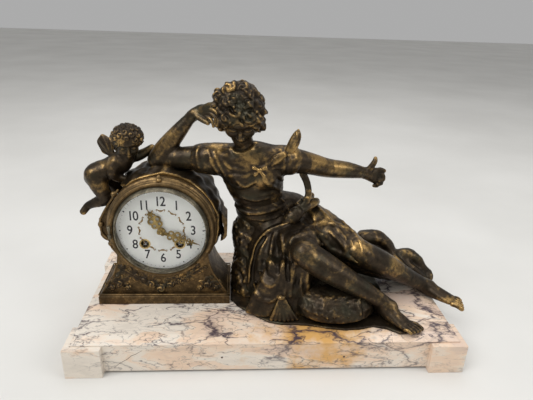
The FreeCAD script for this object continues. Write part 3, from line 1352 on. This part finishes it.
CHERUB_HEAD_SHARES = (
    (-0.4037, 0.0700, 0.6627, 0.0800, 0.0800),
    (-0.4012, 0.0700, 0.6935, 0.1450, 0.1500),
    (-0.4012, 0.0750, 0.7281, 0.1700, 0.1750),
    (-0.4025, 0.0800, 0.7627, 0.1450, 0.1500),
    (-0.4037, 0.0800, 0.7896, 0.0700, 0.0750),
)
CHERUB_ARM_R_SHARES = (
    (-0.4325, 0.0300, 0.6435, 0.0700, 0.0700),
    (-0.4425, 0.0100, 0.6012, 0.0650, 0.0650),
    (-0.4325, 0.0250, 0.5742, 0.0550, 0.0500),
    (-0.4150, 0.0450, 0.5627, 0.0550, 0.0400),
    (-0.4000, 0.0600, 0.5627, 0.0400, 0.0300),
)
CHERUB_ARM_L_SHARES = (
    (-0.4075, 0.1150, 0.6512, 0.0700, 0.0700),
    (-0.3875, 0.1300, 0.6473, 0.0650, 0.0650),
    (-0.3625, 0.1400, 0.6627, 0.0550, 0.0550),
    (-0.3425, 0.1500, 0.6819, 0.0500, 0.0400),
)
CHERUB_THIGH_R_SHARES = (
    (-0.5025, 0.0450, 0.5896, 0.1000, 0.1000),
    (-0.4900, 0.0350, 0.5358, 0.1050, 0.1000),
    (-0.4725, 0.0300, 0.4781, 0.0800, 0.0800),
    (-0.4675, 0.0300, 0.4550, 0.0500, 0.0500),
)
CHERUB_SHIN_R_SHARES = (
    (-0.4650, 0.0300, 0.4858, 0.0600, 0.0600),
    (-0.4850, 0.0300, 0.4665, 0.0750, 0.0700),
    (-0.5150, 0.0350, 0.4435, 0.0550, 0.0550),
    (-0.5325, 0.0400, 0.4281, 0.0500, 0.0500),
    (-0.5425, 0.0200, 0.4050, 0.0450, 0.0400),
)
CHERUB_THIGH_L_SHARES = (
    (-0.4900, 0.1200, 0.5742, 0.1000, 0.1000),
    (-0.4700, 0.1400, 0.5281, 0.0950, 0.0950),
    (-0.4525, 0.1450, 0.4896, 0.0750, 0.0750),
)
CHERUB_SHIN_L_SHARES = (
    (-0.4475, 0.1450, 0.5050, 0.0600, 0.0600),
    (-0.4700, 0.1500, 0.4781, 0.0700, 0.0700),
    (-0.4975, 0.1550, 0.4512, 0.0500, 0.0500),
    (-0.5100, 0.1500, 0.4281, 0.0450, 0.0400),
)
WING_R_SHARES = (
    (-0.4525, 0.1150, 0.6358),
    (-0.4700, 0.1350, 0.6973),
    (-0.5000, 0.1550, 0.7550),
    (-0.5200, 0.1600, 0.7512),
    (-0.5200, 0.1500, 0.7050),
    (-0.5025, 0.1300, 0.6588),
    (-0.4700, 0.1050, 0.6127),
)
WING_L_SHARES = (
    (-0.4300, 0.1250, 0.6512),
    (-0.4400, 0.1800, 0.7127),
    (-0.4600, 0.2200, 0.7704),
    (-0.4775, 0.2250, 0.7627),
    (-0.4800, 0.2100, 0.7204),
    (-0.4700, 0.1800, 0.6704),
    (-0.4450, 0.1200, 0.6242),
)
ROSE_SHARES = (
    ((-0.1325, -0.0700, 0.9420, 0.0400, 0.0400), (-0.1400, -0.0800, 0.9600, 0.0750, 0.0750),
     (-0.1450, -0.0850, 0.9780, 0.0400, 0.0400)),
    ((-0.1075, -0.0800, 0.9900, 0.0400, 0.0400), (-0.1125, -0.0950, 1.0050, 0.0700, 0.0700),
     (-0.1150, -0.1050, 1.0180, 0.0350, 0.0350)),
    ((-0.0775, -0.0950, 1.0100, 0.0400, 0.0400), (-0.0780, -0.1100, 1.0250, 0.0650, 0.0650),
     (-0.0785, -0.1200, 1.0360, 0.0350, 0.0350)),
)
HEAD_TILT_SHARES = (0.616, 0.788)
GROUND_SHARES = (
    (-0.0950, -0.3400), (0.0600, -0.3950), (0.2900, -0.3800), (0.3450, -0.2600),
    (0.3800, 0.1500), (0.2600, 0.3200), (-0.0400, 0.3100), (-0.1100, 0.1000),
)
CRUMB_SHARE = 0.04


def station(row):
    """A place in the group's field and the half-width and half-depth there."""
    place = Vector(row[0] * size("group_width"), row[1] * size("group_depth"),
                   amount(SLAB_TOP) + row[2] * size("group_height"))
    return place, [share * size("group_girth") for share in row[3:]]


def casting(rows, sides=10, across=Vector(1, 0, 0), axis=None):
    """A faceted body through many-sided sections that stand across its own line, or across a given axis."""
    stations = [station(row) for row in rows]
    sections = []
    for number, (place, (half_width, half_depth)) in enumerate(stations):
        line = axis
        if axis is None:
            line = stations[min(number + 1, len(stations) - 1)][0] - stations[max(number - 1, 0)][0]
        line = Vector(line).normalize()
        wide = (across - line * across.dot(line)).normalize()
        deep = line.cross(wide)
        ring = []
        for corner in range(sides):
            angle = 2 * math.pi * (corner + 0.5) / sides
            ring.append(place + wide * (half_width * math.cos(angle)) + deep * (half_depth * math.sin(angle)))
        sections.append(ring)
    return faceted(sections)


def joined(*solids):
    return solids[0].fuse(list(solids[1:])) if len(solids) > 1 else solids[0]


def fitted(shape, neighbours):
    """Cut a casting where it meets its neighbours and leave out loose crumbs."""
    for neighbour in neighbours:
        if shape.BoundBox.intersect(neighbour.BoundBox):
            shape = shape.cut(neighbour).removeSplitter()
    solids = sorted(shape.Solids, key=lambda solid: solid.Volume, reverse=True)
    kept = [solid for solid in solids if solid.Volume > solids[0].Volume * CRUMB_SHARE]
    return Part.makeCompound(kept) if len(kept) > 1 else kept[0]


def wing(rows, thickness):
    """A thin feathered plate."""
    points = [station(row)[0] for row in rows]
    middle = sum(points, Vector(0, 0, 0)) * (1.0 / len(points))
    normal = (points[1] - points[0]).cross(points[-1] - points[0]).normalize() * thickness
    triangles = []
    number_of = len(points)
    for number in range(number_of):
        here, following = points[number], points[(number + 1) % number_of]
        triangles.append((middle, here, following))
        triangles.append((middle + normal, following + normal, here + normal))
        triangles.append((here, following, following + normal))
        triangles.append((here, following + normal, here + normal))
    faces = [Part.Face(Part.makePolygon(list(t) + [t[0]])) for t in triangles]
    solid = Part.Solid(Part.Shell(faces))
    if solid.Volume < 0:
        solid.reverse()
    return solid


def make_sheet():
    """The thin cast ground that the figure group stands on."""
    ground = body("ground")
    edge = sketch_on(ground, "ground_outline", offset=SLAB_TOP)
    corners = []
    for x_share, y_share in GROUND_SHARES:
        corners.append(("%s * group_width" % x_share, "%s * group_depth" % y_share))
    outline(edge, corners)
    pad(ground, edge, "sheet_thickness")
    holes = sketch_on(ground, "ground_holes", offset=SLAB_TOP + " - overrun")
    for x, y in STUDS[2:]:
        ring_on(holes, "stud_radius", x, y)
    ground.Tip = pocket(ground, holes, "sheet_thickness + 2 * overrun", True)
    return piece(ground, "ground_sheet")


def make_group(case_solid, cloth_item):
    """The leaning figure, its seat and drapery, and the winged child, each cast by itself and fitted together."""
    cloth = cloth_item.Shape
    make_sheet()
    document.recompute()
    reach = size("base_length") + size("base_depth")
    slab_block = Part.makeBox(2 * reach, 2 * reach, amount(SLAB_TOP), Vector(-reach, -reach, 0))
    ground = document.getObject("ground_outline_pad").Shape.fuse(slab_block)
    level = Vector(0, 0, 1)
    studs = document.getObject("studs").Shape
    footing = next(item.Shape for item in PIECES if item.Label == "case_plinth")
    nod = Vector(0, -HEAD_TILT_SHARES[0], HEAD_TILT_SHARES[1])

    torso = fitted(casting(TORSO_SHARES, 12), [cloth, case_solid])
    head = fitted(joined(casting(NECK_SHARES), casting(HEAD_SHARES, 12, axis=nod)), [torso])
    bun = casting(HAIR_SHARES, 12, axis=nod)
    roses = [casting(rows, 7) for rows in ROSE_SHARES]
    hair = fitted(joined(bun, *roses), [head, torso])
    arm = joined(casting(UPPER_ARM_R_SHARES), casting(FOREARM_R_SHARES))
    right_arm = fitted(arm, [torso, head, hair, cloth])
    left_arm = fitted(joined(casting(ARM_L_SHARES), casting(THUMB_L_SHARES, 6)), [torso, head])

    sash = joined(casting(SASH_SHARES, 12), casting(KNOT_SHARES, 8), casting(LOOP_SHARES, 8),
                  casting(SHOULDER_BOW_SHARES, 8))
    sash = fitted(sash, [torso, left_arm, head, hair])
    legs = []
    for side, thigh, shin, foot in (("right", THIGH_R_SHARES, SHIN_R_SHARES, FOOT_R_SHARES),
                                    ("left", THIGH_L_SHARES, SHIN_L_SHARES, FOOT_L_SHARES)):
        legs.append(joined(casting(thigh), casting(shin), casting(foot, 8)))
    stone = fitted(casting(STONE_SHARES, 12, axis=level), [ground])
    right_leg = fitted(legs[0], [torso, sash, ground])
    left_leg = fitted(legs[1], [torso, sash, right_leg, ground])
    stone = fitted(stone, [right_leg, left_leg])
    skirt = joined(casting(SKIRT_SHARES, 14, axis=level), casting(LAP_SHARES, 10), casting(FALL_SHARES, 10, axis=level))
    skirt = fitted(skirt, [torso, sash, right_leg, left_leg, stone, ground, studs, case_solid, footing])
    tassel = fitted(casting(TASSEL_SHARES, 8, axis=level), [skirt, ground, stone])
    rock = joined(casting(ROCK_SHARES, 12, axis=level), casting(TRUNK_SHARES, 10, axis=level))
    rock = fitted(rock, [torso, sash, right_leg, left_leg, stone, skirt, tassel, ground, studs, case_solid, cloth,
                         footing])
    drapery = fitted(casting(BACK_DRAPERY_SHARES, 10), [torso, sash, right_leg, left_leg, stone, skirt, rock, ground, left_arm])

    child = fitted(casting(CHERUB_BODY_SHARES), [cloth, case_solid])
    child_head = fitted(casting(CHERUB_HEAD_SHARES, 12, axis=level), [child])
    limbs = [casting(CHERUB_ARM_R_SHARES, 8), casting(CHERUB_ARM_L_SHARES, 8),
             joined(casting(CHERUB_THIGH_R_SHARES, 8), casting(CHERUB_SHIN_R_SHARES, 8)),
             joined(casting(CHERUB_THIGH_L_SHARES, 8), casting(CHERUB_SHIN_L_SHARES, 8))]
    limbs = [fitted(limb, [child, child_head, cloth, case_solid, right_arm]) for limb in limbs]
    wings = [fitted(wing(rows, size("wing_thickness")), [child, child_head] + limbs) for rows in (WING_R_SHARES, WING_L_SHARES)]

    for label, shape in (("woman_torso", torso), ("woman_head", head), ("woman_hair", hair),
                         ("right_arm", right_arm), ("left_arm", left_arm), ("sash_and_bow", sash),
                         ("right_leg", right_leg), ("left_leg", left_leg), ("skirt", skirt),
                         ("front_tassel", tassel), ("seat_rock", rock), ("back_drapery", drapery),
                         ("carved_stone", stone), ("cherub_body", child), ("cherub_head", child_head),
                         ("cherub_limbs", Part.makeCompound(limbs)), ("cherub_wings", Part.makeCompound(wings))):
        piece(feature(label, shape), label)


# Assembly

make_base()
make_case()
make_plinth()
cloth_piece, cloth_thrown = make_cloth()
make_scrolls(cloth_thrown)
make_swag()
core = case_core("core")
core.Placement = CLOCK
document.recompute()
make_dial()
make_bezel()
make_hands()
make_frame()
make_going_train()
make_anchor()
make_pendulum()
make_motion_work()
make_striking_work()
make_back()
document.recompute()
make_group(core.Shape, cloth_piece)
document.recompute()

faults = [item.Name for item in document.Objects if "Invalid" in item.State or "Error" in item.State]
for item in PIECES:
    if item.Shape.isNull() or not item.Shape.isValid():
        faults.append(item.Label)
if faults:
    raise RuntimeError("faulty objects: " + ", ".join(faults))
os.makedirs("parts", exist_ok=True)
for item in PIECES:
    item.Shape.exportStep("parts/%s.step" % item.Label)
